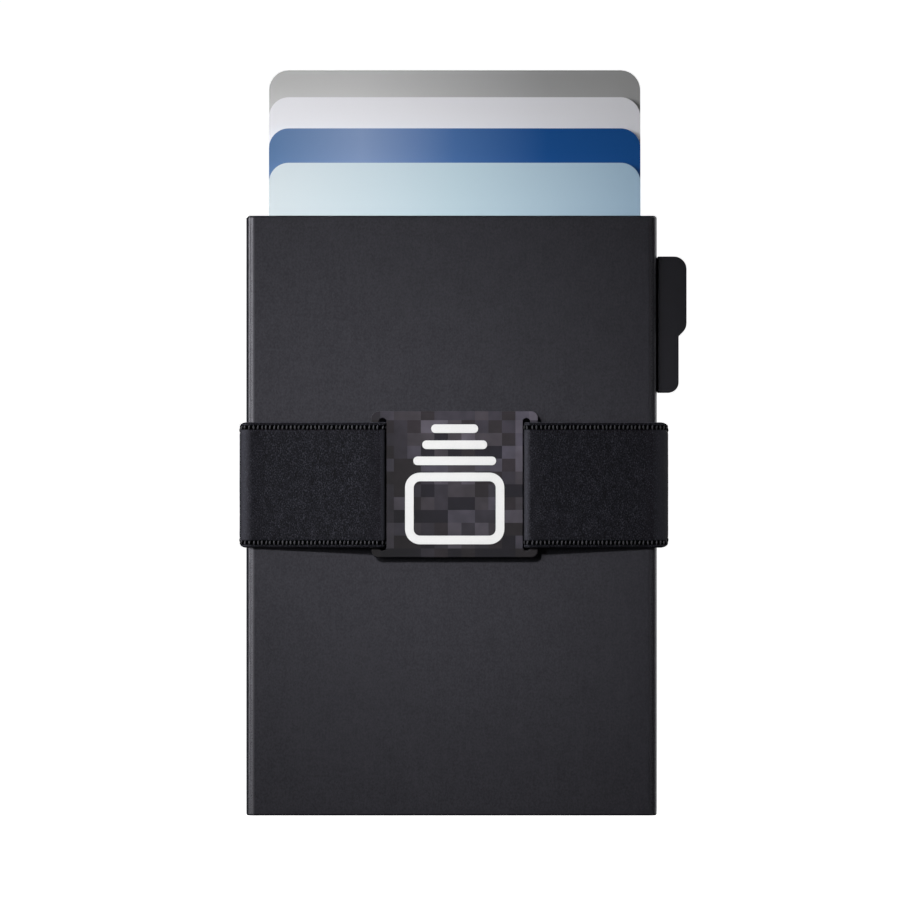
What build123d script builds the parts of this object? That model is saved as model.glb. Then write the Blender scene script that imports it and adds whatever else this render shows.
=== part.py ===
from build123d import *
import math
import os

# Minimalist pop-up card wallet, in millimetres.
# X runs across the wallet, -Y is the front, +Z is up, the way the cards leave.
# The origin is the centre of the case's lower end. The cards are modelled fanned, with the thumb tab up.

# ---------------------------------------------------------------- driving dimensions
CARD_WIDTH = 53.98
CARD_HEIGHT = 85.60
CARD_THICK = 0.76
CARD_CORNER = 2.88
CARD_CENTRE_X = 0.45  # the cards stand slightly to the right in the case
CARD_PITCH = 0.84  # from one card to the next, front to back
FRONT_CARD_Y = -3.10  # front face of the front card
CARD_STOWED_Z = 1.50  # lower edge of a card that is fully in
CARD_NAMES = ["card_light_blue", "card_navy", "card_white", "card_grey"]
CARD_LIFTS = [7.70, 12.73, 17.27, 21.22]  # front to rear, thumb tab fully up

CASE_WIDTH = 59.6
CASE_DEPTH = 9.2
CASE_HEIGHT = 87.1
CASE_WALL = 1.0
CASE_EDGE_R = 1.2  # long outer edges
CASE_INNER_R = 0.4
MOUTH_BEVEL = 0.28
CAP_THICK = 0.8
CAP_EDGE_R = 0.3

THUMB_TRAVEL = 4.2
PIVOT_X = 26.0
PIVOT_Z = 15.0
BAR_SWING = 12.24  # degrees each side of level

BAND_WIDTH = 18.2
BAND_CENTRE_Z = 48.0
BAND_THICK = 0.8
BAND_CLEAR = 0.05
PLATE_WIDTH = 24.15
PLATE_HEIGHT = 21.2
PLATE_THICK = 0.6
PLATE_CENTRE_X = 0.45
PLATE_CENTRE_Z = 48.1
PLATE_CORNER = 1.0

# ---------------------------------------------------------------- values that follow from them
HALF_W = CASE_WIDTH / 2
HALF_D = CASE_DEPTH / 2
INNER_X = HALF_W - CASE_WALL
INNER_Y = HALF_D - CASE_WALL
TRAY_X = INNER_X - 0.05
DIVIDER_FRONT = 0.30
DIVIDER_BACK = 0.90
SHEET_FRONT = 1.00  # the layer of the lifter stems and the slide plate
SHEET_BACK = 1.60
BAR_FRONT = 1.70
BAR_BACK = 2.40
PIN_R = 0.60
PIN_END_Y = 2.35
PIVOT_SHOULDER_R = 1.20
RUNNING_GAP = 0.05
SLOT_HALF = PIN_R + 0.15
TRAY_LOW_Z = CAP_THICK + 0.05
TRAY_TOP_Z = CASE_HEIGHT - 1.5
LIFTER_WIDTH = 6.3
RIB_WIDTH = 4.9
RIB_HEIGHT = 9.0
FOOT_THICK = 0.6
STRIP_LEFT_X = 24.0  # upright strip of the slide plate
STRIP_RIGHT_X = 28.5
STRIP_TOP_Z = 79.0
JOG_LOW_Z = 22.0
JOG_TOP_Z = 26.5
LUG_END_X = 31.8  # the slide plate's lug, which carries the thumb tab
LUG_LOW_Z = 63.0
SCREW_X = 27.4
SCREW_Y = 2.2
SLOPE = math.tan(math.radians(BAR_SWING))
SLIDE_PIN_REACH = THUMB_TRAVEL / (2 * SLOPE)
LIFTER_REACHES = [lift / (2 * SLOPE) for lift in CARD_LIFTS]


# ---------------------------------------------------------------- helpers
def block(x0, x1, y0, y1, z0, z1):
    """A box between two corners."""
    middle = ((x0 + x1) / 2, (y0 + y1) / 2, (z0 + z1) / 2)
    return Pos(*middle) * Box(x1 - x0, y1 - y0, z1 - z0)


def rounded_face(corners):
    """A flat face from corners (u, v, radius) in order; each corner is rounded by its own arc."""
    edges = []
    starts = []
    ends = []
    for i, (u, v, radius) in enumerate(corners):
        here = Vector(u, v)
        before = (Vector(*corners[i - 1][:2]) - here).normalized()
        after = (Vector(*corners[(i + 1) % len(corners)][:2]) - here).normalized()
        half_angle = before.get_angle(after) / 2
        if radius == 0:
            starts.append(here)
            ends.append(here)
            continue
        trim = radius / math.tan(math.radians(half_angle))
        bisector = (before + after).normalized()
        centre = here + bisector * (radius / math.sin(math.radians(half_angle)))
        starts.append(here + before * trim)
        ends.append(here + after * trim)
        edges.append(ThreePointArc(starts[-1], centre - bisector * radius, ends[-1]))
    for i, end in enumerate(ends):
        edges.append(Line(end, starts[(i + 1) % len(starts)]))
    return make_face(edges)


def upright_plate(corners, y0, y1):
    """A plate that stands in the XZ plane, from outline corners (x, z, radius), between y0 and y1."""
    return extrude(Plane.XZ.offset(-y1) * rounded_face(corners), y1 - y0)


def rectangle_corners(x0, x1, z0, z1, radius):
    """Corners of a rectangle with equal rounding, for rounded_face."""
    return [(x0, z0, radius), (x1, z0, radius), (x1, z1, radius), (x0, z1, radius)]


def rod(x, z, radius, y0, y1):
    """A round pin along Y."""
    return Pos(x, (y0 + y1) / 2, z) * Rot(90, 0, 0) * Cylinder(radius, y1 - y0)


def profile_prism(width, depth, radius, z0, z1):
    """A rounded rectangle seen from above, centred on the axis, between z0 and z1."""
    return extrude(Pos(0, 0, z0) * RectangleRounded(width, depth, radius), z1 - z0)


def bowed_leaf(x0, x1, z0, length, wall_y, crest_y, thick=0.15):
    """A strip spring: a flat foot on the wall at wall_y, then one bow whose crest reaches crest_y."""
    side = 1 if crest_y > wall_y else -1
    foot = length * 0.2
    bow_end = z0 + length
    bow_middle = (z0 + foot + bow_end) / 2
    outer = [
        Line((wall_y, z0), (wall_y, z0 + foot)),
        ThreePointArc((wall_y, z0 + foot), (crest_y - side * thick, bow_middle), (wall_y, bow_end)),
        Line((wall_y, bow_end), (wall_y + side * thick, bow_end)),
        ThreePointArc(
            (wall_y + side * thick, bow_end), (crest_y, bow_middle), (wall_y + side * thick, z0 + foot)
        ),
        Line((wall_y + side * thick, z0 + foot), (wall_y + side * thick, z0)),
        Line((wall_y + side * thick, z0), (wall_y, z0)),
    ]
    return extrude(Plane.YZ.offset(x0) * make_face(outer), x1 - x0)


def pin_height(reach, raised):
    """Height of a pin that rides in the fan bar at this reach from the pivot."""
    return PIVOT_Z + reach * SLOPE * (1 if raised else -1)


# ---------------------------------------------------------------- case
TAB_SLOT = block(
    HALF_W - CASE_WALL - 0.5,
    HALF_W + 0.5,
    SHEET_FRONT - 0.1,
    SHEET_BACK + 0.1,
    LUG_LOW_Z - THUMB_TRAVEL - 0.2,
    STRIP_TOP_Z + 0.2,
)


def case_shell():
    """Extruded sleeve with a bevelled mouth and the slider's slot in its right wall."""
    sleeve = profile_prism(CASE_WIDTH, CASE_DEPTH, CASE_EDGE_R, CAP_THICK, CASE_HEIGHT)
    top_edges = sleeve.faces().sort_by(Axis.Z)[-1].outer_wire().edges()
    sleeve = chamfer(top_edges, MOUTH_BEVEL)
    hollow = profile_prism(2 * INNER_X, 2 * INNER_Y, CASE_INNER_R, 0, CASE_HEIGHT + 1)
    return sleeve - hollow - TAB_SLOT


def cap_screw_axes():
    """The two screws' places, seen from below."""
    return [(-SCREW_X, SCREW_Y), (SCREW_X, SCREW_Y)]


def bottom_cap():
    """End plate with a locating rib along each face wall and two countersunk holes."""
    cap = profile_prism(CASE_WIDTH, CASE_DEPTH, CASE_EDGE_R, 0, CAP_THICK)
    cap = fillet(cap.faces().sort_by(Axis.Z)[0].outer_wire().edges(), CAP_EDGE_R)
    rib_x = 25.5
    front_rib = block(-rib_x, rib_x, -INNER_Y + 0.05, -INNER_Y + 0.45, CAP_THICK - 0.2, 1.8)
    back_rib = block(-rib_x, rib_x, INNER_Y - 0.55, INNER_Y - 0.05, CAP_THICK - 0.2, 2.2)
    cap = cap + front_rib + back_rib
    for x, y in cap_screw_axes():
        cap -= Pos(x, y, CAP_THICK / 2) * Cylinder(0.80, CAP_THICK + 0.2)
        cap -= Pos(x, y, 0.30) * Cone(1.35, 0.75, 0.60)
    return cap


def cap_screws():
    """Two countersunk screws with hexagon sockets."""
    screws = []
    for x, y in cap_screw_axes():
        head = Pos(x, y, 0.05 + 0.26) * Cone(1.25, 0.72, 0.52)
        shank = Pos(x, y, 2.8) * Cylinder(0.66, 4.6)
        socket = extrude(Pos(x, y, 0) * RegularPolygon(0.55, 6), 0.45)
        screws.append(head + shank - socket)
    return Compound(children=screws)


# ---------------------------------------------------------------- card tray
def card_tray():
    """Divider with a slot for each lifter, side rails for the cards; ribs, bosses and a roof behind."""
    tray = block(-TRAY_X, TRAY_X, DIVIDER_FRONT, DIVIDER_BACK, TRAY_LOW_Z, TRAY_TOP_Z)
    rail_gap = 0.11
    left_card_edge = CARD_CENTRE_X - CARD_WIDTH / 2
    right_card_edge = CARD_CENTRE_X + CARD_WIDTH / 2
    front = -INNER_Y + 0.3
    tray += block(-TRAY_X, left_card_edge - rail_gap, front, DIVIDER_FRONT, TRAY_LOW_Z, TRAY_TOP_Z)
    tray += block(right_card_edge + rail_gap, TRAY_X, front, DIVIDER_FRONT, TRAY_LOW_Z, TRAY_TOP_Z)
    back = INNER_Y - 0.3
    boss_inner_x = 26.15
    boss_top = 10.0
    for side in (-1, 1):
        inner, outer = sorted((side * boss_inner_x, side * TRAY_X))
        tray += block(inner, outer, DIVIDER_BACK, back, TRAY_LOW_Z, boss_top)
    side_wall_x = -27.7
    tray += block(-TRAY_X, side_wall_x, DIVIDER_BACK, back, TRAY_LOW_Z, TRAY_TOP_Z)
    rib_half = 0.6
    rib_low_z = 38.0
    for x in (-18.0, -3.0, 12.0):
        tray += block(x - rib_half, x + rib_half, DIVIDER_BACK, back, rib_low_z, TRAY_TOP_Z)
    guide_right_x = STRIP_LEFT_X - 0.2
    guide_low_z = 29.0
    tray += block(guide_right_x - 1.1, guide_right_x, DIVIDER_BACK, back, guide_low_z, TRAY_TOP_Z)
    roof_thick = 1.2
    tray += block(-TRAY_X, TRAY_X, DIVIDER_BACK, back, TRAY_TOP_Z - roof_thick, TRAY_TOP_Z)
    for reach, lift in zip(LIFTER_REACHES, CARD_LIFTS):
        x = PIVOT_X - reach
        half = RIB_WIDTH / 2 + 0.05
        slot_top = TRAY_LOW_Z + RIB_HEIGHT + lift + 0.3
        tray -= block(x - half, x + half, DIVIDER_FRONT - 0.1, DIVIDER_BACK + 0.1, 0, slot_top)
    tray -= rod(PIVOT_X, PIVOT_Z, 0.80, 0, 2)
    for x, y in cap_screw_axes():
        tray -= Pos(x, y, TRAY_LOW_Z + 2.5) * Cylinder(0.70, 5.0)
    return tray


# ---------------------------------------------------------------- cards and lifters
def card(index):
    """One card, at its fanned height."""
    low_z = CARD_STOWED_Z + CARD_LIFTS[index]
    front = FRONT_CARD_Y + index * CARD_PITCH
    left = CARD_CENTRE_X - CARD_WIDTH / 2
    outline = rectangle_corners(left, left + CARD_WIDTH, low_z, low_z + CARD_HEIGHT, CARD_CORNER)
    return upright_plate(outline, front, front + CARD_THICK)


def lifter(index):
    """Stem behind the divider, a rib that runs in the divider's slot, a foot under the card, and a pin."""
    reach = LIFTER_REACHES[index]
    lift = CARD_LIFTS[index]
    x = PIVOT_X - reach
    low_z = TRAY_LOW_Z + lift
    pin_z = pin_height(reach, raised=True)
    stem_top = max(pin_z + 2.0, low_z + RIB_HEIGHT + 0.8)
    stem = block(
        x - LIFTER_WIDTH / 2, x + LIFTER_WIDTH / 2, SHEET_FRONT, SHEET_BACK, low_z, stem_top
    )
    rib_front = DIVIDER_FRONT + 0.05
    half = RIB_WIDTH / 2
    rib = block(x - half, x + half, rib_front, SHEET_FRONT, low_z, low_z + RIB_HEIGHT)
    foot_front = FRONT_CARD_Y + index * CARD_PITCH - (0.04 if index else 0.0)
    foot = block(x - half, x + half, foot_front, rib_front, low_z, low_z + FOOT_THICK)
    return stem + rib + foot + rod(x, pin_z, PIN_R, SHEET_FRONT, PIN_END_Y)


# ---------------------------------------------------------------- slider and fan bar
def slide_plate():
    """Upright strip with the tab's lug, and a leg that jogs left to the drive pin."""
    pin_x = PIVOT_X - SLIDE_PIN_REACH
    pin_z = pin_height(SLIDE_PIN_REACH, raised=True)
    leg_half = 2.4
    leg_left = pin_x - leg_half
    strip = block(STRIP_LEFT_X, STRIP_RIGHT_X, SHEET_FRONT, SHEET_BACK, JOG_LOW_Z, STRIP_TOP_Z)
    jog = block(leg_left, STRIP_RIGHT_X, SHEET_FRONT, SHEET_BACK, JOG_LOW_Z, JOG_TOP_Z)
    leg = block(leg_left, pin_x + leg_half, SHEET_FRONT, SHEET_BACK, pin_z - 2.2, JOG_TOP_Z)
    lug = block(STRIP_RIGHT_X - 0.5, LUG_END_X, SHEET_FRONT, SHEET_BACK, LUG_LOW_Z, STRIP_TOP_Z)
    plate = strip + jog + leg + lug
    plate -= rod(pin_x, pin_z, PIN_R + 0.01, 0, 3)
    for z in TAB_RIVET_HEIGHTS:
        plate -= rod(TAB_RIVET_X, z, TAB_RIVET_R + 0.02, 0, 3)
    return plate


def drive_pin():
    """Pin fixed in the slide plate's leg, running in the fan bar's first slot."""
    pin_z = pin_height(SLIDE_PIN_REACH, raised=True)
    return rod(PIVOT_X - SLIDE_PIN_REACH, pin_z, PIN_R, SHEET_FRONT, PIN_END_Y)


def fan_bar():
    """Lever with a slot for the drive pin and one for each lifter, shown with its free end up."""
    longest = max(LIFTER_REACHES) / math.cos(math.radians(BAR_SWING))
    tip = -(longest + SLOT_HALF + 1.1)
    outline = [(2.2, -2.2, 2.15), (2.2, 2.2, 2.15), (tip, 1.7, 1.3), (tip, -1.7, 1.3)]
    bar = upright_plate(outline, BAR_FRONT, BAR_BACK)
    bar -= rod(0, 0, PIVOT_SHOULDER_R + RUNNING_GAP, 1, 3)
    for reach in [SLIDE_PIN_REACH] + LIFTER_REACHES:
        far = -(reach / math.cos(math.radians(BAR_SWING)) + SLOT_HALF + 0.10)
        near = -(reach - SLOT_HALF - 0.10)
        bar -= upright_plate(rectangle_corners(far, near, -SLOT_HALF, SLOT_HALF, 0.7), 1, 3)
    return Pos(PIVOT_X, 0, PIVOT_Z) * Rot(0, BAR_SWING, 0) * bar


def pivot_pin():
    """Shoulder pin riveted in the tray, with a head behind the fan bar."""
    rivet = rod(PIVOT_X, PIVOT_Z, 0.78, DIVIDER_FRONT + 0.02, DIVIDER_BACK + 0.05)
    shoulder = rod(PIVOT_X, PIVOT_Z, PIVOT_SHOULDER_R, DIVIDER_BACK + 0.02, BAR_BACK + 0.06)
    head = rod(PIVOT_X, PIVOT_Z, 1.9, BAR_BACK + 0.06, BAR_BACK + 0.66)
    return rivet + shoulder + head


# ---------------------------------------------------------------- thumb tab
TAB_FRONT = -3.00
TAB_BACK = 2.95
TAB_INNER_X = HALF_W + 0.06
TAB_UPPER_X = HALF_W + 4.34
TAB_LOWER_X = HALF_W + 3.19
TAB_TOP_Z = 81.2
TAB_STEP_Z = 69.6
TAB_LOW_Z = 61.4
TAB_RIVET_X = 31.0
TAB_RIVET_R = 0.5
TAB_RIVET_HEIGHTS = (65.2, 76.2)


def thumb_tab():
    """Two-step tab with softened edges, a pocket for the lug and blind rivet holes from behind."""
    outline = [
        (TAB_INNER_X, TAB_LOW_Z, 0.25),
        (TAB_LOWER_X, TAB_LOW_Z, 1.5),
        (TAB_LOWER_X, TAB_STEP_Z, 0.15),
        (TAB_UPPER_X, TAB_STEP_Z + 1.15, 1.9),
        (TAB_UPPER_X, TAB_TOP_Z, 1.85),
        (TAB_INNER_X, TAB_TOP_Z, 0.25),
    ]
    tab = upright_plate(outline, TAB_FRONT, TAB_BACK)
    rims = tab.edges().filter_by(
        lambda e: abs(e.center().Y - TAB_FRONT) < 0.01 or abs(e.center().Y - TAB_BACK) < 0.01
    )
    tab = fillet(rims, 0.14)
    tab -= block(
        TAB_INNER_X - 1,
        LUG_END_X + RUNNING_GAP,
        SHEET_FRONT - RUNNING_GAP,
        SHEET_BACK + RUNNING_GAP,
        LUG_LOW_Z - RUNNING_GAP,
        STRIP_TOP_Z + RUNNING_GAP,
    )
    for z in TAB_RIVET_HEIGHTS:
        tab -= rod(TAB_RIVET_X, z, TAB_RIVET_R + 0.02, 0.55, TAB_BACK + 1)
    return tab


def tab_rivets():
    """Two blind rivets through the tab's back and the slide plate's lug."""
    rivets = []
    for z in TAB_RIVET_HEIGHTS:
        pin = rod(TAB_RIVET_X, z, TAB_RIVET_R, 0.60, TAB_BACK - 0.02)
        end_rim = pin.edges().sort_by(Axis.Y)[-1]
        rivets.append(fillet(end_rim, 0.15))
    return Compound(children=rivets)


# ---------------------------------------------------------------- band and its plate
BAND_LOW_Z = BAND_CENTRE_Z - BAND_WIDTH / 2
BAND_FACE_IN = HALF_D + BAND_CLEAR
BAND_FACE_OUT = BAND_FACE_IN + BAND_THICK
PLATE_BACK = BAND_FACE_OUT + 0.10
PLATE_FRONT = PLATE_BACK + PLATE_THICK
OVER_PLATE_IN = PLATE_FRONT + 0.05
OVER_PLATE_OUT = OVER_PLATE_IN + BAND_THICK
BAND_LEFT_OUT = HALF_W + 0.99
BAND_RIGHT_OUT = HALF_W + 1.67
SLOT_INNER_X = 9.90  # plate slot, from the plate's centre line
SLOT_OUTER_X = 10.95
RAMP_FOOT_X = 27.9  # the band's front run leaves the case here, from the plate's centre line
RAMP_TOP_X = 12.4  # and reaches the plate's outer bar here
LAP_START_X = 17.5  # the band's overlapped end on the back
LAP_BACK_OUT = BAND_FACE_OUT + BAND_THICK


def band_front_points(face_out, over_out, dive_x, radii):
    """One skin of the band's front run: a long rise to the plate's bar, then in at the slot."""
    foot_r, top_r, edge_r, root_r = radii
    left = [
        (-RAMP_FOOT_X, -face_out, foot_r),
        (-RAMP_TOP_X, -over_out, top_r),
        (-dive_x, -over_out, edge_r),
        (-dive_x, -face_out, root_r),
    ]
    right = [(-x, y, r) for x, y, r in reversed(left)]
    return [(x + PLATE_CENTRE_X, y, r) for x, y, r in left + right]


def elastic_band():
    """Loop of elastic that is threaded through the plate's two slots and lapped at the right and back."""
    dive_out = SLOT_INNER_X + 0.13
    dive_in = dive_out + BAND_THICK
    outer = band_front_points(BAND_FACE_OUT, OVER_PLATE_OUT, dive_out, (6.0, 4.0, 1.10, 0.08))
    outer += [
        (BAND_RIGHT_OUT, -BAND_FACE_OUT, 2.8),
        (BAND_RIGHT_OUT, LAP_BACK_OUT, 2.0),
        (LAP_START_X + 0.1, LAP_BACK_OUT, 0.25),
        (LAP_START_X, BAND_FACE_OUT, 0.0),
        (-BAND_LEFT_OUT, BAND_FACE_OUT, 2.0),
        (-BAND_LEFT_OUT, -BAND_FACE_OUT, 2.0),
    ]
    inner = band_front_points(BAND_FACE_IN, OVER_PLATE_IN, dive_in, (6.0, 3.2, 0.30, 0.60))
    inner_right = HALF_W + BAND_CLEAR
    inner += [
        (BAND_RIGHT_OUT - BAND_THICK, -BAND_FACE_IN, 2.0),
        (BAND_RIGHT_OUT - BAND_THICK, -BAND_FACE_IN + 2.6, 0.4),
        (inner_right, -BAND_FACE_IN + 2.7, 0.4),
        (inner_right, BAND_FACE_IN, 1.15),
        (-BAND_LEFT_OUT + BAND_THICK, BAND_FACE_IN, 1.2),
        (-BAND_LEFT_OUT + BAND_THICK, -BAND_FACE_IN, 1.2),
    ]
    section = rounded_face(outer) - rounded_face(inner)
    return extrude(Pos(0, 0, BAND_LOW_Z) * section, BAND_WIDTH)


def band_stitching():
    """Two rows of lock stitches through the lap on the back."""
    stitches = []
    stitch_length = 1.5
    stitch_pitch = 2.0
    count = 8
    first_z = BAND_CENTRE_Z - (count - 1) * stitch_pitch / 2
    for x in (LAP_START_X + 2.2, LAP_START_X + 9.2):
        for i in range(count):
            z = first_z + i * stitch_pitch
            outline = rectangle_corners(
                x - 0.2, x + 0.2, z - stitch_length / 2, z + stitch_length / 2, 0.19
            )
            stitches.append(upright_plate(outline, LAP_BACK_OUT, LAP_BACK_OUT + 0.16))
    return Compound(children=stitches)


def band_plate():
    """Thin plate with rounded corners and two upright slots for the band."""
    half_w = PLATE_WIDTH / 2
    half_h = PLATE_HEIGHT / 2
    x = PLATE_CENTRE_X
    z = PLATE_CENTRE_Z
    outline = rectangle_corners(x - half_w, x + half_w, z - half_h, z + half_h, PLATE_CORNER)
    plate = upright_plate(outline, -PLATE_FRONT, -PLATE_BACK)
    slot_half_height = 9.6
    for side in (-1, 1):
        x0, x1 = sorted((x + side * SLOT_INNER_X, x + side * SLOT_OUTER_X))
        slot = rectangle_corners(x0, x1, z - slot_half_height, z + slot_half_height, 0.5)
        plate -= upright_plate(slot, -PLATE_FRONT - 1, -PLATE_BACK + 1)
    return fillet(plate.faces().sort_by(Axis.Y)[0].edges(), 0.10)


def plate_emblem():
    """Raised pictogram: a wallet outline with three bars above it that stand for fanned cards."""
    stroke = 1.25
    proud = 0.10
    height = 17.4
    pocket_width = 14.4
    pocket_height = 10.4
    x = PLATE_CENTRE_X
    low_z = PLATE_CENTRE_Z - height / 2
    face = -PLATE_FRONT
    outer = rectangle_corners(
        x - pocket_width / 2, x + pocket_width / 2, low_z, low_z + pocket_height, 2.2
    )
    inner = rectangle_corners(
        x - pocket_width / 2 + stroke,
        x + pocket_width / 2 - stroke,
        low_z + stroke,
        low_z + pocket_height - stroke,
        2.2 - stroke,
    )
    pieces = [upright_plate(outer, face - proud, face) - upright_plate(inner, face - 1, face + 1)]
    bar_gap = (height - pocket_height - 3 * stroke) / 3
    for i, width in enumerate((12.0, 9.4, 6.8)):
        z = low_z + pocket_height + bar_gap + i * (stroke + bar_gap)
        bar = rectangle_corners(x - width / 2, x + width / 2, z, z + stroke, 0.6)
        pieces.append(upright_plate(bar, face - proud, face))
    return Compound(children=pieces)


# ---------------------------------------------------------------- springs
def card_spring():
    """Leaf on the front wall that presses the cards back against the divider."""
    return bowed_leaf(-6.0, 6.0, 46.0, 34.0, -INNER_Y + 0.02, FRONT_CARD_Y - 0.02)


def slider_spring():
    """Leaf on the back wall that holds the slide plate by friction."""
    return bowed_leaf(24.8, 27.6, 36.0, 20.0, INNER_Y - 0.02, SHEET_BACK + 0.03)


# ---------------------------------------------------------------- one file for each piece
PIECES = {
    "case_shell": case_shell(),
    "bottom_cap": bottom_cap(),
    "cap_screws": cap_screws(),
    "card_tray": card_tray(),
    "card_spring": card_spring(),
    "slider_spring": slider_spring(),
    "pivot_pin": pivot_pin(),
    "slide_plate": slide_plate(),
    "drive_pin": drive_pin(),
    "thumb_tab": thumb_tab(),
    "tab_rivets": tab_rivets(),
    "fan_bar": fan_bar(),
    "lifter_front": lifter(0),
    "lifter_second": lifter(1),
    "lifter_third": lifter(2),
    "lifter_rear": lifter(3),
    "elastic_band": elastic_band(),
    "band_stitching": band_stitching(),
    "band_plate": band_plate(),
    "plate_emblem": plate_emblem(),
}
for number, card_name in enumerate(CARD_NAMES):
    PIECES[card_name] = card(number)

os.makedirs("parts", exist_ok=True)
for node, shape in PIECES.items():
    export_step(shape, f"parts/{node}.step")
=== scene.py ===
import math
import random

import bpy
import numpy as np
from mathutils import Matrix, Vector


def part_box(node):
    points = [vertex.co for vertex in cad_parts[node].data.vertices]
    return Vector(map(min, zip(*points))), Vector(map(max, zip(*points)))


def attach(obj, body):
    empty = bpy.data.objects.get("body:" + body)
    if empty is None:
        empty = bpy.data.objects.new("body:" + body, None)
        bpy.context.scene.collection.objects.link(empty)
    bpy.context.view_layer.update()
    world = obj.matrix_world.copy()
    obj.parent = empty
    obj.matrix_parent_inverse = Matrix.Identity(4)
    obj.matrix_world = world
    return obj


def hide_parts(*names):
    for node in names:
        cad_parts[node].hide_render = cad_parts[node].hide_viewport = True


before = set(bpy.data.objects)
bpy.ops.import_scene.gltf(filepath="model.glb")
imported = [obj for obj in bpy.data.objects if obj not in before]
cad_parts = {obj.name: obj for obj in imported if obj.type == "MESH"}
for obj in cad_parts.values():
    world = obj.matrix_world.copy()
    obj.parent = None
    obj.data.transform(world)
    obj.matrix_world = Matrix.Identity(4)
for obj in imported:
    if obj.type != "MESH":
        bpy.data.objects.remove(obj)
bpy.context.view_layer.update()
MM = 0.001


# ------------------------------------------------------------------ node helpers
class Nodes:
    """A material's node tree with short calls for the nodes used here."""

    def __init__(self, name):
        self.material = bpy.data.materials.new(name)
        self.material.use_nodes = True
        self.tree = self.material.node_tree
        self.shader = self.tree.nodes["Principled BSDF"]

    def add(self, kind, **settings):
        node = self.tree.nodes.new(kind)
        for key, value in settings.items():
            setattr(node, key, value)
        return node

    def link(self, source, target):
        self.tree.links.new(source, target)

    def feed(self, socket, value):
        """Sets a socket from a number, a colour or another node's output."""
        if isinstance(value, bpy.types.NodeSocket):
            self.link(value, socket)
        else:
            if isinstance(value, (tuple, list)) and len(value) == 3 and socket.type == "RGBA":
                value = (*value, 1.0)
            socket.default_value = value

    def set(self, **inputs):
        """Sets inputs of the shader, by names with _ for each space."""
        for name, value in inputs.items():
            self.feed(self.shader.inputs[name.replace("_", " ")], value)

    def place(self, scale=(1, 1, 1), shift=(0, 0, 0)):
        """Object coordinates in millimetres, scaled."""
        coords = self.add("ShaderNodeTexCoord").outputs["Object"]
        mapping = self.add("ShaderNodeMapping")
        mapping.inputs["Scale"].default_value = [s / MM for s in scale]
        mapping.inputs["Location"].default_value = shift
        self.link(coords, mapping.inputs["Vector"])
        return mapping.outputs["Vector"]

    def noise(self, vector, detail=2.0, roughness=0.5):
        node = self.add("ShaderNodeTexNoise")
        self.link(vector, node.inputs["Vector"])
        node.inputs["Scale"].default_value = 1.0
        node.inputs["Detail"].default_value = detail
        node.inputs["Roughness"].default_value = roughness
        return node.outputs["Fac"]

    def math(self, operation, a, b=0.0):
        node = self.add("ShaderNodeMath", operation=operation)
        self.feed(node.inputs[0], a)
        self.feed(node.inputs[1], b)
        return node.outputs["Value"]

    def ramp(self, factor, low, high, to_low=0.0, to_high=1.0):
        """The factor's range low to high as the range to_low to to_high, held at its ends."""
        node = self.add("ShaderNodeMapRange")
        self.link(factor, node.inputs["Value"])
        limits = {"From Min": low, "From Max": high, "To Min": to_low, "To Max": to_high}
        for name, value in limits.items():
            node.inputs[name].default_value = value
        return node.outputs["Result"]

    def mix(self, factor, a, b):
        node = self.add("ShaderNodeMix", data_type="RGBA")
        self.feed(node.inputs["Factor"], factor)
        self.feed(node.inputs["A"], a)
        self.feed(node.inputs["B"], b)
        return node.outputs["Result"]

    def bump(self, height, distance_mm, strength):
        node = self.add("ShaderNodeBump")
        self.link(height, node.inputs["Height"])
        node.inputs["Distance"].default_value = distance_mm * MM
        node.inputs["Strength"].default_value = strength
        return node.outputs["Normal"]

    def gradient(self, factor, stops, interpolation="LINEAR"):
        """A colour ramp through stops of (position, sRGB colour)."""
        node = self.add("ShaderNodeValToRGB")
        node.color_ramp.interpolation = interpolation
        elements = node.color_ramp.elements
        for position, _ in stops[2:]:
            elements.new(position)
        for element, (position, colour) in zip(elements, stops):
            element.position = position
            element.color = (*linear(*colour), 1.0)
        self.link(factor, node.inputs["Fac"])
        return node.outputs["Color"]

    def normal(self):
        """The x, y and z parts of the surface's normal."""
        return self.separate(self.add("ShaderNodeNewGeometry").outputs["Normal"])

    def separate(self, vector):
        node = self.add("ShaderNodeSeparateXYZ")
        self.link(vector, node.inputs["Vector"])
        return node.outputs


def linear(red, green, blue):
    """An sRGB colour, 0 to 255, as scene-linear values."""
    channels = [c / 255 for c in (red, green, blue)]
    return tuple(c / 12.92 if c <= 0.04045 else ((c + 0.055) / 1.055) ** 2.4 for c in channels)


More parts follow.
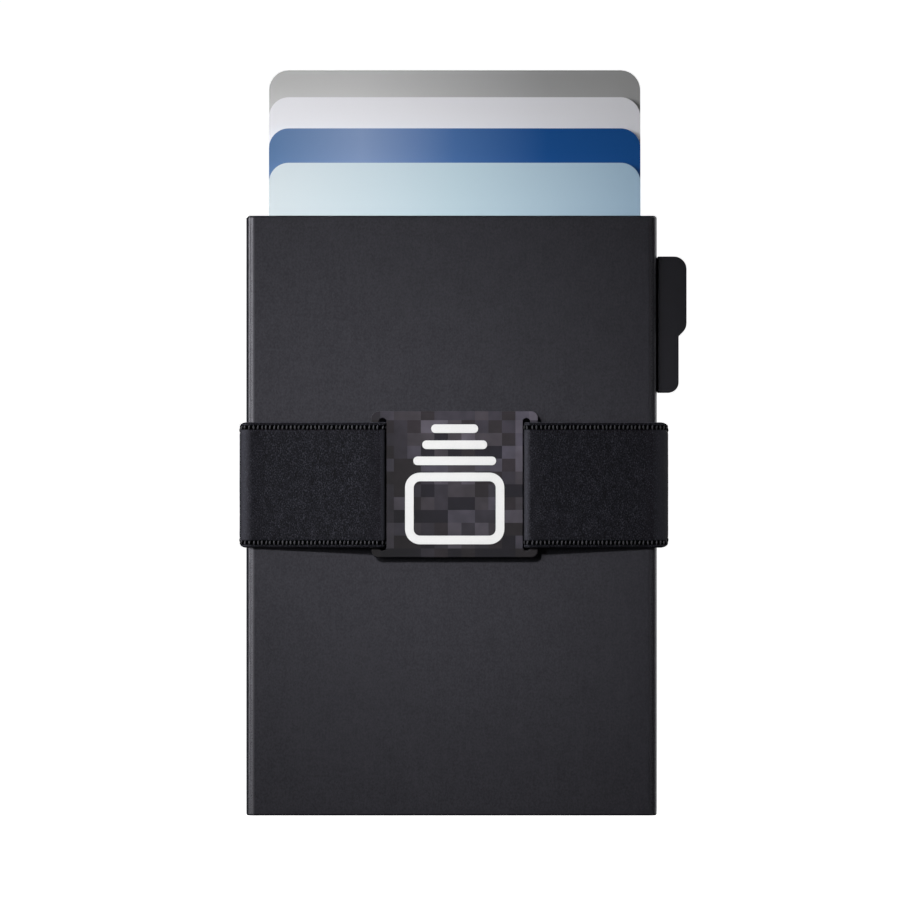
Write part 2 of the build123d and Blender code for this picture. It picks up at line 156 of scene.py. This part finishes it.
# ------------------------------------------------------------------ materials
def anodised_aluminium(name="anodised_case"):
    """Bead-blasted black anodising: a fine grain, faint clouds and lines, and a lighter colour on the rounded
    side edges, a painted highlight.
    """
    n = Nodes(name)
    grain = n.noise(n.place((9, 9, 9)), detail=3)
    cloud = n.noise(n.place((0.35, 0.35, 0.3)), detail=4)
    upright = n.noise(n.place((2.2, 2.2, 0.25)), detail=3)
    level = n.noise(n.place((0.25, 0.25, 2.2)), detail=3)
    mottle = n.noise(n.place((4.5, 4.5, 3.2)), detail=2)
    shade = n.math("ADD", n.math("MULTIPLY", cloud, 0.15), n.math("MULTIPLY", upright, 0.15))
    shade = n.math("ADD", shade, n.math("MULTIPLY", level, 0.10))
    shade = n.math("ADD", shade, n.math("MULTIPLY", mottle, 0.60))
    tone = n.mix(n.ramp(shade, 0.36, 0.64), (0.0100, 0.0097, 0.0134), (0.0190, 0.0185, 0.0238))
    turned = n.math("ABSOLUTE", n.normal()[0])
    edge = n.ramp(turned, 0.05, 0.18)
    # Painted highlight: a lighter colour on the rounded side edges brightens their reflection there.
    painted_edge_highlight = n.math("MULTIPLY", n.ramp(turned, 0.05, 0.22), n.ramp(turned, 0.50, 0.80, 1.0, 0.0))
    tone = n.mix(painted_edge_highlight, tone, (0.050, 0.049, 0.056))
    grainy = n.ramp(grain, 0.3, 0.7, 0.46, 0.56)
    roughness = n.math("SUBTRACT", grainy, n.math("MULTIPLY", edge, 0.22))
    n.set(Base_Color=tone, Metallic=0.55, Roughness=roughness, Specular_IOR_Level=0.33)
    n.set(Normal=n.bump(grain, 0.03, 0.45))
    return n.material


def moulded_plastic(name, colour, roughness=0.5, gloss=0.5):
    """Moulded plastic with a fine spark-eroded grain."""
    n = Nodes(name)
    grain = n.noise(n.place((6, 6, 6)), detail=3)
    patch = n.noise(n.place((0.5, 0.5, 0.5)), detail=2)
    darker = tuple(c * 0.85 for c in colour)
    n.set(Base_Color=n.mix(n.ramp(patch, 0.35, 0.65), darker, colour))
    n.set(Roughness=n.ramp(grain, 0.3, 0.7, roughness - 0.05, roughness + 0.08), Specular_IOR_Level=gloss)
    n.set(Normal=n.bump(grain, 0.03, 0.4))
    return n.material


def steel(name, colour, roughness, along=(0.3, 6, 6)):
    """Bare or blackened steel with drawn or turned lines."""
    n = Nodes(name)
    lines = n.noise(n.place(along), detail=3)
    n.set(Base_Color=n.mix(n.ramp(lines, 0.3, 0.7), tuple(c * 0.85 for c in colour), colour))
    n.set(Metallic=1.0, Roughness=n.ramp(lines, 0.3, 0.7, roughness - 0.06, roughness + 0.08))
    n.set(Normal=n.bump(lines, 0.01, 0.3))
    return n.material


STRIPE_FROM_EDGE = 10.4  # from the card's right edge to the stripe's middle
STRIPE_HALF = 6.35
PADS_FROM_LEFT = 25.0  # from the card's left edge to the middle of the contact pads
PADS_FROM_BOTTOM = 15.9
PADS_HALF_WIDTH = 6.2
PADS_HALF_HEIGHT = 5.9
PAD_COLUMN = 3.0
PAD_GAP_HALF = 0.18


def card_print(name, node, stops):
    """Laminated card: its print colour with painted sheen on the left and painted shade to the right, a dark
    stripe on the back, contact pads low on the front, and a paler core at the edges.

    Each stop is the share of the card's width from the left and the sRGB colour there.
    """
    low, high = (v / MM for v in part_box(node))
    n = Nodes(name)
    x, _, z = n.separate(n.place())
    print_and_painted_light = n.gradient(n.ramp(x, low.x, high.x), stops)
    backward = n.normal()[1]
    is_face = n.math("GREATER_THAN", n.math("ABSOLUTE", backward), 0.5)
    is_front = n.math("LESS_THAN", backward, -0.5)
    is_back = n.math("GREATER_THAN", backward, 0.5)

    def near(value, middle, half):
        """One where value is within half of middle."""
        return n.math("LESS_THAN", n.math("ABSOLUTE", n.math("SUBTRACT", value, middle)), half)

    stripe = n.math("MULTIPLY", is_back, near(x, high.x - STRIPE_FROM_EDGE, STRIPE_HALF))
    pad_x = low.x + PADS_FROM_LEFT
    pad_z = low.z + PADS_FROM_BOTTOM
    pads = n.math("MULTIPLY", near(x, pad_x, PADS_HALF_WIDTH), near(z, pad_z, PADS_HALF_HEIGHT))
    lines = n.math("MAXIMUM", near(x, pad_x, PAD_GAP_HALF), near(z, pad_z, PAD_GAP_HALF))
    for offset in (-PAD_COLUMN, PAD_COLUMN):
        lines = n.math("MAXIMUM", lines, near(x, pad_x + offset, PAD_GAP_HALF))
    pads = n.math("MULTIPLY", pads, is_front)
    pad_colour = n.mix(lines, (0.55, 0.40, 0.16), (0.10, 0.08, 0.05))
    face = n.mix(stripe, print_and_painted_light, (0.012, 0.011, 0.011))
    face = n.mix(pads, face, pad_colour)
    core = n.mix(0.5, print_and_painted_light, (0.42, 0.42, 0.42))
    speck = n.noise(n.place((12, 12, 12)), detail=2)
    n.set(Base_Color=n.mix(is_face, core, face), Roughness=n.ramp(speck, 0.3, 0.7, 0.3, 0.38))
    n.set(Metallic=pads, Coat_Weight=0.08, Coat_Roughness=0.15, Specular_IOR_Level=0.3)
    n.set(Normal=n.bump(speck, 0.004, 0.3))
    return n.material


def woven_elastic(name="elastic"):
    """Black woven elastic: short broken flecks over darker ground, a painted highlight where it bends round
    the case's sides, and painted shade in the channel under each stitch row.
    """
    n = Nodes(name)
    low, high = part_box("elastic_band")
    z = n.separate(n.place())[2]
    from_middle = n.math("ABSOLUTE", n.math("SUBTRACT", z, (low.z + high.z) / 2 / MM))
    from_edge = n.math("SUBTRACT", (high.z - low.z) / 2 / MM, from_middle)
    from_row = n.math("ABSOLUTE", n.math("SUBTRACT", from_edge, STITCH_INSET))
    flecks = n.noise(n.place((9, 9, 4.5)), detail=2, roughness=0.6)
    coarse = n.noise(n.place((1.2, 1.2, 0.7)), detail=2)
    level = n.math("ADD", n.math("MULTIPLY", flecks, 0.88), n.math("MULTIPLY", coarse, 0.12))
    ground = n.mix(n.ramp(level, 0.36, 0.55), (0.0005, 0.0005, 0.0010), (0.0046, 0.0046, 0.0068))
    speckled = n.mix(n.ramp(level, 0.55, 0.66), ground, (0.025, 0.025, 0.032))
    turned = n.math("ABSOLUTE", n.normal()[0])
    # Painted highlight: the strip's colour is lighter where it turns round the case's sides.
    painted_bend_highlight = n.math("MULTIPLY", n.ramp(turned, 0.12, 0.60), n.ramp(turned, 0.80, 0.98, 1.0, 0.0))
    speckled = n.mix(n.math("MULTIPLY", painted_bend_highlight, 0.33), speckled, (0.045, 0.045, 0.056))
    # Painted shade: the channel under each stitch row is near black and has no gloss or sheen.
    clear_of_channel_shade = n.ramp(from_row, 0.25, 0.45)
    tone = n.mix(clear_of_channel_shade, (0.0004, 0.0004, 0.0005), speckled)
    n.set(Base_Color=tone, Roughness=0.8, Specular_IOR_Level=n.math("MULTIPLY", clear_of_channel_shade, 0.08))
    n.set(Sheen_Weight=n.math("MULTIPLY", clear_of_channel_shade, 0.065), Sheen_Roughness=0.4)
    n.set(Sheen_Tint=(0.75, 0.78, 0.95), Normal=n.bump(flecks, 0.05, 0.7))
    return n.material


def thread_material(name, colour, gloss):
    """Twisted polyester thread."""
    n = Nodes(name)
    fibre = n.noise(n.place((8, 8, 3)), detail=2)
    n.set(Base_Color=n.mix(n.ramp(fibre, 0.3, 0.7), tuple(c * 0.6 for c in colour), colour))
    n.set(Roughness=0.7, Sheen_Weight=0.02, Specular_IOR_Level=gloss, Normal=n.bump(fibre, 0.03, 0.6))
    return n.material


CELL_X = 1.96
CELL_Z = 1.86
SINGLE_CELLS_ABOVE = 0.45  # cells whose random value is above this stand alone; the rest join in pairs


def printed_squares(name="printed_plate"):
    """Matt print of dark squares in several greys, in a square grid with some cells joined, with painted
    shade towards the plate's lower and left edges.
    """
    low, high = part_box("band_plate")
    n = Nodes(name)
    centre = (low + high) / 2 / MM
    shift = (0.5 - centre.x / CELL_X, 0, -centre.z / CELL_Z)
    cells = n.separate(n.place((1 / CELL_X, 1, 1 / CELL_Z), shift))

    def cell_value(width, seed):
        """One random number for each cell; width 2 makes cells twice as wide."""
        combined = n.add("ShaderNodeCombineXYZ")
        n.link(n.math("FLOOR", n.math("MULTIPLY", cells[0], 1 / width)), combined.inputs["X"])
        n.link(n.math("FLOOR", cells[2]), combined.inputs["Y"])
        combined.inputs["Z"].default_value = seed
        random_value = n.add("ShaderNodeTexWhiteNoise", noise_dimensions="3D")
        n.link(combined.outputs["Vector"], random_value.inputs["Vector"])
        return random_value.outputs["Value"]

    small = cell_value(1.0, 3.0)
    wide = cell_value(2.0, 5.0)
    is_single = n.math("GREATER_THAN", cell_value(1.0, 9.0), SINGLE_CELLS_ABOVE)
    is_pair = n.math("SUBTRACT", 1.0, is_single)
    mixed = n.math("ADD", n.math("MULTIPLY", small, is_single), n.math("MULTIPLY", wide, is_pair))
    greys = [(0.0, (20, 18, 27)), (0.12, (33, 29, 33)), (0.28, (44, 41, 49)), (0.50, (53, 49, 55)),
             (0.66, (63, 60, 70)), (0.80, (72, 68, 77)), (0.92, (38, 33, 38))]
    squares = n.gradient(mixed, greys, "CONSTANT")
    x, _, z = n.separate(n.place())
    # Painted shade: the squares darken towards the plate's lower edge and its left edge; the cloud adds
    # random tone.
    painted_shade_and_mottle = n.ramp(z, low.z / MM, high.z / MM, 0.42, 0.90)
    painted_shade_and_mottle = n.math("MULTIPLY", painted_shade_and_mottle, n.ramp(x, low.x / MM, low.x / MM + 9, 0.35, 1.0))
    cloud = n.noise(n.place((0.6, 0.6, 0.6)), detail=1)
    painted_shade_and_mottle = n.math("MULTIPLY", painted_shade_and_mottle, n.ramp(cloud, 0.3, 0.7, 0.85, 1.15))
    tone = n.mix(painted_shade_and_mottle, (0, 0, 0), squares)
    speck = n.noise(n.place((10, 10, 10)), detail=2)
    n.set(Base_Color=tone, Roughness=n.ramp(speck, 0.3, 0.7, 0.52, 0.62), Specular_IOR_Level=0.15)
    n.set(Normal=n.bump(speck, 0.008, 0.3))
    return n.material


def white_print(name="white_print"):
    """Slightly raised white ink."""
    n = Nodes(name)
    speck = n.noise(n.place((7, 7, 7)), detail=2)
    n.set(Base_Color=n.mix(n.ramp(speck, 0.3, 0.7), (0.475, 0.475, 0.475), (0.505, 0.505, 0.505)))
    n.set(Roughness=0.4, Normal=n.bump(speck, 0.006, 0.3))
    return n.material


# ------------------------------------------------------------------ mesh helpers
def mesh_object(name, vertices, faces, material):
    """A smooth-shaded object from vertices in metres and faces of vertex numbers."""
    mesh = bpy.data.meshes.new(name)
    mesh.from_pydata([tuple(v) for v in vertices], [], [tuple(f) for f in faces])
    mesh.validate()
    mesh.update()
    mesh.polygons.foreach_set("use_smooth", [True] * len(mesh.polygons))
    mesh.materials.append(material)
    piece = bpy.data.objects.new(name, mesh)
    bpy.context.scene.collection.objects.link(piece)
    return piece


def rounded_path(corners, step):
    """Even points along an open path of corners (x, y, radius) with round corners, about step apart, and
    the length along the path at each."""
    points = []
    for i, (x, y, radius) in enumerate(corners):
        here = np.array([x, y], float)
        if i in (0, len(corners) - 1) or radius == 0:
            points.append(here)
            continue
        before = np.array(corners[i - 1][:2]) - here
        after = np.array(corners[i + 1][:2]) - here
        before /= np.linalg.norm(before)
        after /= np.linalg.norm(after)
        half = math.acos(np.clip(before @ after, -1, 1)) / 2
        trim = radius / math.tan(half)
        bisector = (before + after) / np.linalg.norm(before + after)
        centre = here + bisector * radius / math.sin(half)
        start = here + before * trim - centre
        end = here + after * trim - centre
        sweep = math.pi - 2 * half
        turn = math.copysign(1, start[0] * end[1] - start[1] * end[0])
        count = max(3, int(sweep * radius / step) + 1)
        for k in range(count + 1):
            a = turn * sweep * k / count
            turned_x = start[0] * math.cos(a) - start[1] * math.sin(a)
            turned_y = start[0] * math.sin(a) + start[1] * math.cos(a)
            points.append(centre + np.array([turned_x, turned_y]))
    points = np.array(points)
    lengths = np.concatenate([[0], np.cumsum(np.linalg.norm(np.diff(points, axis=0), axis=1))])
    keep = np.concatenate([[True], np.diff(lengths) > 1e-6])
    points = points[keep]
    lengths = lengths[keep]
    even = np.linspace(0, lengths[-1], int(lengths[-1] / step) + 1)
    return np.stack([np.interp(even, lengths, points[:, k]) for k in (0, 1)], axis=1), even


# ------------------------------------------------------------------ the elastic band
BAND_THICK = 0.8
BAND_CLEAR = 0.05  # gap between the band and what it lies on
SLOT_FROM_MIDDLE = 10.43  # where the band dives through the plate, each side of the plate's middle
RISE_FROM_MIDDLE = (27.9, 12.4)  # where it leaves the case's face, and where it reaches the plate's height
INNER_END_Y = -2.4  # the strip's inner end, on the case's right side
LAP_END_X = 17.6  # its outer end, on the back
STITCH_PITCH = 0.60
STITCH_INSET = 0.74  # from the strip's edge to the middle of the stitch row
CHANNEL_HALF = 0.34
CHANNEL_DEPTH = 0.12
EDGE_ANGLES = (math.radians(30), math.radians(60))
BEND_DRAW_IN = 0.05  # share of its half width that the strip draws in where it lies on the case's sides
SIDE_FROM_MIDDLE = 25  # beyond this the band is at the case's sides, and not in the plate's slots


class BandPath:
    """The strip's middle line seen from above: from its inner end at the right side, round the back, the
    left side and the front (threaded through the plate), and over itself at the right and back."""

    def __init__(self, step):
        case_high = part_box("case_shell")[1] / MM
        band_low, band_high = (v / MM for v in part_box("elastic_band"))
        plate_low, plate_high = (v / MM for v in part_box("band_plate"))
        half = BAND_THICK / 2
        face = case_high.y + BAND_CLEAR + half
        over = -plate_low.y + BAND_CLEAR + half
        plate_x = (plate_low.x + plate_high.x) / 2
        left = band_low.x + half
        right = band_high.x - half
        inner_right = case_high.x + BAND_CLEAR + half
        corners = [(inner_right, INNER_END_Y, 0), (inner_right, face, 1.2)]
        corners += [(left, face, 1.6), (left, -face, 1.6)]
        leave, arrive = RISE_FROM_MIDDLE
        run = [(leave, face, 6.0), (arrive, over, 3.6)]
        run += [(SLOT_FROM_MIDDLE, over, 0.70), (SLOT_FROM_MIDDLE, face, 0.45)]
        corners += [(plate_x - x, -y, r) for x, y, r in run]
        corners += [(plate_x + x, -y, r) for x, y, r in reversed(run)]
        lap_face = face + BAND_THICK
        corners += [(right, -face, 2.4), (right, lap_face, 1.6), (LAP_END_X, lap_face, 0)]
        self.points, self.lengths = rounded_path(corners, step)
        tangents = np.gradient(self.points, axis=0)
        tangents /= np.linalg.norm(tangents, axis=1)[:, None]
        self.normals = np.stack([tangents[:, 1], -tangents[:, 0]], axis=1)
        self.half_width = (band_high.z - band_low.z) / 2
        self.middle_z = (band_high.z + band_low.z) / 2
        self.stitch_count = int(self.lengths[-1] / STITCH_PITCH)

    def place(self, s, out, across):
        """The 3-D point at arc length s, out from the middle line and across from the strip's middle."""
        point = np.array([np.interp(s, self.lengths, self.points[:, k]) for k in (0, 1)])
        normal = np.array([np.interp(s, self.lengths, self.normals[:, k]) for k in (0, 1)])
        normal /= np.linalg.norm(normal)
        x, y = point + normal * out
        return x, y, self.middle_z + across * width_share(point[0], normal[0])


def width_share(x, normal_x):
    """How much of its full width the strip keeps: its edges draw in a little round the case's sides."""
    at_side = np.abs(x) > SIDE_FROM_MIDDLE
    turned = np.clip((np.abs(normal_x) - 0.7) / 0.3, 0, 1) * at_side
    return 1 - BEND_DRAW_IN * (1 - np.sqrt(1 - turned**2))


def value_noise(u, v, seed):
    """Smooth random values between -1 and 1 on a grid of unit cells."""
    rng = np.random.default_rng(seed)
    table = rng.uniform(-1, 1, (64, 64))
    iu = np.floor(u).astype(int)
    iv = np.floor(v).astype(int)
    fu = u - iu
    fv = v - iv
    fu = fu * fu * (3 - 2 * fu)
    fv = fv * fv * (3 - 2 * fv)

    def corner(a, b):
        return table[(iu + a) % 64, (iv + b) % 64]

    low = corner(0, 0) * (1 - fu) + corner(1, 0) * fu
    high = corner(0, 1) * (1 - fu) + corner(1, 1) * fu
    return low * (1 - fv) + high * fv


def band_section(half_w, half_t):
    """The strip's section as a ring of (across, out) points: flat faces and round edges."""
    edge_r = 0.36
    flat = half_w - edge_r
    painted_bend_highlight = [(flat + edge_r * math.sin(a), half_t - edge_r + edge_r * math.cos(a)) for a in EDGE_ANGLES]
    edge = painted_bend_highlight + [(half_w, 0.0)] + [(w, -t) for w, t in reversed(painted_bend_highlight)]
    top = [(w, half_t) for w in np.linspace(-flat, flat, 76)]
    under = [(w, -half_t) for w in np.linspace(flat, -flat, 8)]
    other = [(-w, t) for w, t in reversed(edge)]
    return top + edge + under + other


def woven_band(path, material):
    """The strip itself: rounded edges, a shallow channel under each stitch row, ribs across its width."""
    half_thick = BAND_THICK / 2
    ring = np.array(band_section(path.half_width, half_thick))
    size = len(ring)
    count = len(path.points)
    along = np.repeat(path.lengths[:, None], size, axis=1)
    across = np.repeat(ring[None, :, 0], count, axis=0)
    out = np.repeat(ring[None, :, 1], count, axis=0)
    on_top = (out > half_thick - 1e-6).astype(float)
    fine_ribs = value_noise(along / 0.25, across / 0.45, 1) * 0.016
    coarse_ribs = value_noise(along / 0.9, across / 1.6, 2) * 0.008
    from_row = (np.abs(across) - (path.half_width - STITCH_INSET)) / CHANNEL_HALF
    channel = np.exp(-(from_row**2)) * -CHANNEL_DEPTH
    out = out + on_top * (fine_ribs + coarse_ribs + channel)
    plan = path.points[:, None, :] + path.normals[:, None, :] * out[:, :, None]
    height = path.middle_z + across * width_share(path.points[:, 0], path.normals[:, 0])[:, None]
    vertices = np.concatenate([plan, height[:, :, None]], axis=2) * MM
    index = np.arange(count * size).reshape(count, size)
    a = index[:-1, :]
    b = index[1:, :]
    quads = np.stack([a, np.roll(a, -1, axis=1), np.roll(b, -1, axis=1), b], axis=2).reshape(-1, 4)
    faces = [tuple(q) for q in quads.tolist()]
    faces.append(tuple(index[0, ::-1].tolist()))
    faces.append(tuple(index[-1, :].tolist()))
    return mesh_object("elastic_band_woven", vertices.reshape(-1, 3).tolist(), faces, material)


def capsule_threads(name, runs, radius, material, sides=6):
    """Short threads, each a tube with closed tapered ends through a list of 3-D points in millimetres."""
    vertices = []
    faces = []
    for points in runs:
        points = np.array(points, float)
        count = len(points)
        tangents = np.gradient(points, axis=0)
        tangents /= np.linalg.norm(tangents, axis=1)[:, None]
        up = np.array([0.0, 0.0, 1.0])
        if abs(tangents[0] @ up) > 0.9:
            up = np.array([1.0, 0.3, 0.0])
        start = len(vertices)
        for k, (p, tan) in enumerate(zip(points, tangents)):
            side = np.cross(tan, up)
            side /= np.linalg.norm(side)
            other = np.cross(side, tan)
            share = k / (count - 1)
            r = radius * math.sin(math.pi * (0.08 + 0.84 * share)) ** 0.5
            for j in range(sides):
                a = 2 * math.pi * j / sides
                vertices.append((p + (side * math.cos(a) + other * math.sin(a)) * r) * MM)
        for k in range(count - 1):
            for j in range(sides):
                a = start + k * sides + j
                b = start + k * sides + (j + 1) % sides
                faces.append((a, b, b + sides, a + sides))
        faces.append(tuple(start + j for j in reversed(range(sides))))
        last = start + (count - 1) * sides
        faces.append(tuple(last + j for j in range(sides)))
    return mesh_object(name, vertices, faces, material)


def edge_stitches(path, sign, name, material):
    """Overlock stitches along one edge of the band: short, slightly slanted threads. The upper edge has
    sign 1 and the lower edge has sign -1."""
    sink = 0.13
    bow = 0.07
    rng = random.Random(11 + sign)
    runs = []
    for i in range(1, path.stitch_count):
        middle = i * STITCH_PITCH + rng.uniform(-0.05, 0.05)
        half_length = 0.30 + rng.uniform(-0.03, 0.03)
        slant = 0.02 + rng.uniform(-0.05, 0.05)
        points = []
        for k in range(5):
            share = k / 4 * 2 - 1
            out = BAND_THICK / 2 - sink + bow * (1 - share * share)
            across = sign * (path.half_width - STITCH_INSET) + share * half_length
            points.append(path.place(middle + share * slant, out, across))
        runs.append(points)
    return capsule_threads(name, runs, 0.13, material)


def edge_cord(path, sign, name, material):
    """Cord of locked loops along one edge of the band: short threads, each slanting over the next. The
    upper edge has sign 1 and the lower edge has sign -1."""
    sink = 0.16
    bow = 0.05
    reach = 1.3  # pitches that one thread spans
    from_edge = 0.24
    rise = 0.08
    runs = []
    for i in range(1, path.stitch_count - 1):
        points = []
        for k in range(5):
            share = k / 4
            out = BAND_THICK / 2 - sink + bow * math.sin(math.pi * share)
            across = sign * (path.half_width - from_edge + rise * share)
            points.append(path.place((i + reach * share) * STITCH_PITCH, out, across))
        runs.append(points)
    return capsule_threads(name, runs, 0.11, material)


def seam_stitches(name, material):
    """Two upright rows of lock stitches through the lap on the back."""
    low, high = (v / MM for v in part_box("band_stitching"))
    row_inset = 0.2
    sink = 0.08
    bow = 0.14
    count = 9
    pitch = (high.z - low.z) / count
    length = 0.78 * pitch
    runs = []
    for x in (low.x + row_inset, high.x - row_inset):
        for i in range(count):
            start_z = low.z + (i + 0.08) * pitch
            points = []
            for k in range(6):
                share = k / 5
                y = low.y - sink + bow * math.sin(math.pi * share)
                points.append((x + 0.04 * (i % 2), y, start_z + length * share))
            runs.append(points)
    return capsule_threads(name, runs, 0.17, material, sides=8)


band_path = BandPath(step=0.12)
elastic = woven_elastic()
edge_thread = thread_material("edge_thread", (0.034, 0.034, 0.039), 0.15)
cord_thread = thread_material("cord_thread", (0.0045, 0.0045, 0.0065), 0.05)
seam_thread = thread_material("seam_thread", (0.034, 0.034, 0.039), 0.15)

band = woven_band(band_path, elastic)
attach(band, "band")
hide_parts("elastic_band")
for sign, side_name in ((1, "upper"), (-1, "lower")):
    row = edge_stitches(band_path, sign, f"band_edge_stitches_{side_name}", edge_thread)
    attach(row, "band")
    cord = edge_cord(band_path, sign, f"band_edge_cord_{side_name}", cord_thread)
    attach(cord, "band")
seam = seam_stitches("band_seam_stitches", seam_thread)
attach(seam, "band")
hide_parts("band_stitching")

# ------------------------------------------------------------------ finishes of the CAD nodes
case_finish = anodised_aluminium()
black_steel = steel("black_steel", (0.06, 0.06, 0.065), 0.4)
spring_steel = steel("spring_steel", (0.62, 0.62, 0.63), 0.25, (6, 6, 0.3))
sheet_steel = steel("sheet_steel", (0.5, 0.5, 0.51), 0.35)
bare_steel = steel("bare_steel", (0.62, 0.62, 0.62), 0.25)
tray_plastic = moulded_plastic("black_plastic", (0.022, 0.022, 0.024), 0.5)
lifter_plastic = moulded_plastic("grey_plastic", (0.10, 0.10, 0.105), 0.45)
tab_plastic = moulded_plastic("tab_plastic", (0.0038, 0.0036, 0.0066), 0.55, 0.20)
# Each card's own colour, lighter on the left as painted sheen and darker to the right as painted shade; the
# navy's lighter patch is a painted highlight.
CARD_PRINT_AND_PAINTED_LIGHT = {
    "light_blue": [(0.0, (195, 205, 210)), (0.5, (170, 190, 200)), (1.0, (145, 170, 190))],
    "navy": [(0.0, (80, 110, 150)), (0.25, (115, 135, 170)), (0.5, (60, 95, 145)), (0.75, (5, 65, 125))],
    "white": [(0.0, (220, 220, 225)), (0.75, (205, 205, 210))],
    "grey": [(0.0, (180, 180, 180)), (0.25, (180, 180, 180)), (0.75, (145, 145, 145))],
}
FINISHES = {
    "case_shell": case_finish,
    "bottom_cap": case_finish,
    "cap_screws": black_steel,
    "card_tray": tray_plastic,
    "card_spring": spring_steel,
    "slider_spring": spring_steel,
    "pivot_pin": bare_steel,
    "slide_plate": sheet_steel,
    "drive_pin": bare_steel,
    "thumb_tab": tab_plastic,
    "tab_rivets": black_steel,
    "fan_bar": sheet_steel,
    "lifter_front": lifter_plastic,
    "lifter_second": lifter_plastic,
    "lifter_third": lifter_plastic,
    "lifter_rear": lifter_plastic,
    "band_plate": printed_squares(),
    "plate_emblem": white_print(),
    "card_light_blue": card_print("light_blue_card", "card_light_blue", CARD_PRINT_AND_PAINTED_LIGHT["light_blue"]),
    "card_navy": card_print("navy_card", "card_navy", CARD_PRINT_AND_PAINTED_LIGHT["navy"]),
    "card_white": card_print("white_card", "card_white", CARD_PRINT_AND_PAINTED_LIGHT["white"]),
    "card_grey": card_print("grey_card", "card_grey", CARD_PRINT_AND_PAINTED_LIGHT["grey"]),
}
for node_name, finish in FINISHES.items():
    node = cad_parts[node_name]
    node.data.materials.clear()
    node.data.materials.append(finish)


# ------------------------------------------------------------------ studio
FLOOR_DROP = 0.024  # room below the case for the band, which is pulled off over its lower end


def studio_white(name="studio_white"):
    """Plain white to the camera, and dark grey to everything else, so that it doesn't wash the object out."""
    n = Nodes(name)
    camera_ray = n.add("ShaderNodeLightPath").outputs["Is Camera Ray"]
    n.set(Base_Color=n.mix(camera_ray, (0.10, 0.10, 0.10), (0.85, 0.85, 0.85)), Roughness=0.9)
    n.set(Specular_IOR_Level=0.0, Emission_Color=(1, 1, 1), Emission_Strength=camera_ray)
    return n.material


def studio_sheet():
    """Seamless pale floor and backdrop, one sheet with a swept corner."""
    half_width = 4.0
    front = -4.0
    back = 3.6
    height = 4.0
    sweep = 0.8
    steps = 12
    profile = [(front, 0.0), (back - sweep, 0.0)]
    for k in range(1, steps + 1):
        a = math.radians(90 * k / steps)
        profile.append((back - sweep + sweep * math.sin(a), sweep - sweep * math.cos(a)))
    profile.append((back, height))
    vertices = [(x, y, z - FLOOR_DROP) for y, z in profile for x in (-half_width, half_width)]
    faces = [(2 * i, 2 * i + 1, 2 * i + 3, 2 * i + 2) for i in range(len(profile) - 1)]
    mesh_object("studio_sheet", vertices, faces, studio_white())


def lamp(name, kind, place, aim, power, **settings):
    """A lamp at place that shines at aim and isn't seen by the camera."""
    data = bpy.data.lights.new(name, kind)
    data.energy = power
    for key, value in settings.items():
        setattr(data, key, value)
    holder = bpy.data.objects.new(name, data)
    bpy.context.scene.collection.objects.link(holder)
    holder.location = place
    holder.rotation_mode = "QUATERNION"
    holder.rotation_quaternion = (Vector(aim) - Vector(place)).to_track_quat("-Z", "Y")
    holder.visible_camera = False


def pool(name, aim, power, angle, soft):
    """A narrow spot from the key lamp's place: a pool of light with a soft rim, soft metres in radius."""
    lamp(name, "SPOT", (-0.25, -0.61, 0.35), aim, power, spot_size=math.radians(angle), spot_blend=1.0,
         shadow_soft_size=soft)


def panel(name, place, aim_height, power, width, height):
    """A soft rectangular lamp aimed at the case's middle line."""
    lamp(name, "AREA", place, (0, 0, aim_height), power, shape="RECTANGLE", size=width, size_y=height)


def studio_lamps():
    """The pool on the front, one for cards that are pulled out, and weak panels for the sides and back."""
    pool("key_pool", (-0.007, 0.0, 0.0455), 57.0, angle=7.4, soft=0.045)
    pool("pulled_card_pool", (0.0, 0.0, 0.162), 8.0, angle=8.0, soft=0.008)
    panel("left_strip", (-0.46, -0.55, 0.24), 0.050, 3.0, width=0.10, height=0.36)
    panel("left_side", (-0.70, -0.12, 0.24), 0.050, 4.5, width=0.15, height=0.45)
    panel("back_key", (-0.10, 0.75, 0.40), 0.055, 8.0, width=0.35, height=0.35)
    panel("right_back", (0.76, 0.46, 0.35), 0.055, 5.5, width=0.8, height=0.8)


def studio_world():
    """White to the camera and nearly dark to everything else."""
    world = bpy.data.worlds.new("studio_world")
    bpy.context.scene.world = world
    world.use_nodes = True
    tree = world.node_tree
    background = tree.nodes["Background"]
    light_path = tree.nodes.new("ShaderNodeLightPath")
    strength = tree.nodes.new("ShaderNodeMapRange")
    strength.inputs["To Min"].default_value = 0.02
    strength.inputs["To Max"].default_value = 1.0
    tree.links.new(light_path.outputs["Is Camera Ray"], strength.inputs["Value"])
    tree.links.new(strength.outputs["Result"], background.inputs["Strength"])
    background.inputs["Color"].default_value = (1, 1, 1, 1)


def studio_camera():
    """A long lens level with the object's middle, straight in front of the case's front face."""
    distance = 2.0
    frame_width = 0.1318
    sensor_width = 36
    data = bpy.data.cameras.new("camera")
    data.sensor_width = sensor_width
    data.lens = sensor_width * distance / frame_width
    data.clip_end = 20
    camera = bpy.data.objects.new("camera", data)
    bpy.context.scene.collection.objects.link(camera)
    case_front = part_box("case_shell")[0].y
    camera.location = (0.00035, case_front - distance, 0.0525)
    camera.rotation_euler = (math.radians(90), 0, 0)
    bpy.context.scene.camera = camera
    bpy.context.scene.view_settings.view_transform = "Standard"


studio_sheet()
studio_lamps()
studio_world()
studio_camera()
